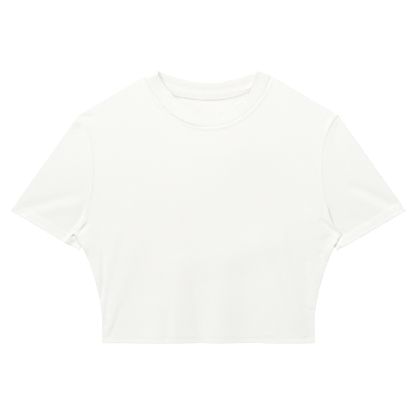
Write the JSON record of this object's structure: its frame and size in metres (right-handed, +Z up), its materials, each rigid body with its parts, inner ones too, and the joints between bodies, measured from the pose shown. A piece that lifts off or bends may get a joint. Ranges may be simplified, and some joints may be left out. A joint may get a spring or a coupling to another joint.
{
  "type": "crop top",
  "caption": "Cropped T-shirt in plain off-white jersey, round ribbed neckband and short set-in sleeves, laid flat front up.",
  "frame": {"origin": "centre of the garment's outline, on the surface that it lies on", "axes": "+X to the wearer's left, +Y from the hem to the neck, +Z up out of the front"},
  "size_m": [0.6524, 0.4499, 0.0083],
  "materials": {
    "jersey": "off-white cotton jersey, matt",
    "rib": "off-white fine rib knit, matt",
    "tape": "off-white woven twill tape, matt"
  },
  "bodies": {
    "root": {"back_panel": "jersey", "front_panel": "jersey", "sleeve_left": "jersey", "sleeve_right": "jersey", "neckband": "rib", "neck_tape": "tape"}
  },
  "joints": []
}
